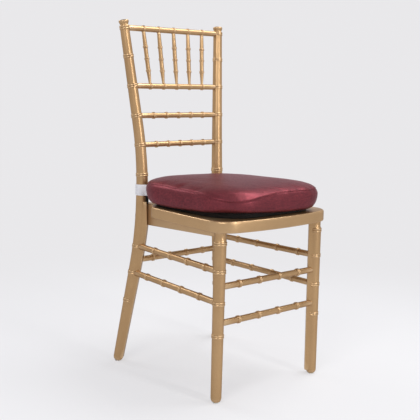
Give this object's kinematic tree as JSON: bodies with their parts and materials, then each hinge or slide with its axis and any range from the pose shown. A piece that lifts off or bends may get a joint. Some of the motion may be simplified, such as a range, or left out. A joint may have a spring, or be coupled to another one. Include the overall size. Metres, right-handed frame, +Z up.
{
  "type": "chiavari chair",
  "caption": "Chiavari side chair: gold-painted turned wooden frame with bamboo-like rings, spindled open back, bowed seat frame and a strapped-on burgundy satin cushion.",
  "frame": {"origin": "on the floor, in the middle of the chair's length and width", "axes": "+Z up; the sitter faces -Y; +X is the chair's right as seen from its front"},
  "size_m": [0.388, 0.46, 0.9204],
  "materials": {
    "gold_frame": "satin gold paint over turned hardwood",
    "plywood": "bare sanded plywood",
    "burgundy_satin": "two-tone satin cover over a foam pad",
    "black_fabric": "black woven underside",
    "white_strap": "white flat webbing",
    "nylon": "moulded nylon",
    "zinc_steel": "zinc-plated steel"
  },
  "bodies": {
    "root": {"rear_post_left": "gold_frame", "rear_post_right": "gold_frame", "front_leg_left": "gold_frame", "front_leg_right": "gold_frame", "upper_side_stretcher_left": "gold_frame", "upper_side_stretcher_right": "gold_frame", "lower_side_stretcher_left": "gold_frame", "lower_side_stretcher_right": "gold_frame", "side_bearer_left": "gold_frame", "side_bearer_right": "gold_frame", "upper_front_stretcher": "gold_frame", "lower_front_stretcher": "gold_frame", "rear_stretcher": "gold_frame", "top_rail": "gold_frame", "spindle_rail": "gold_frame", "middle_rail": "gold_frame", "lower_rail": "gold_frame", "rear_bearer": "gold_frame", "seat_frame": "gold_frame", "spindle_1": "gold_frame", "spindle_2": "gold_frame", "spindle_3": "gold_frame", "spindle_4": "gold_frame", "spindle_5": "gold_frame", "seat_panel": "plywood", "cushion_base": "black_fabric", "cushion": "burgundy_satin", "cushion_strap_left": "white_strap", "cushion_strap_right": "white_strap", "foot_glides": "nylon", "seat_bolts": "zinc_steel", "frame_screws": "zinc_steel"}
  },
  "joints": []
}
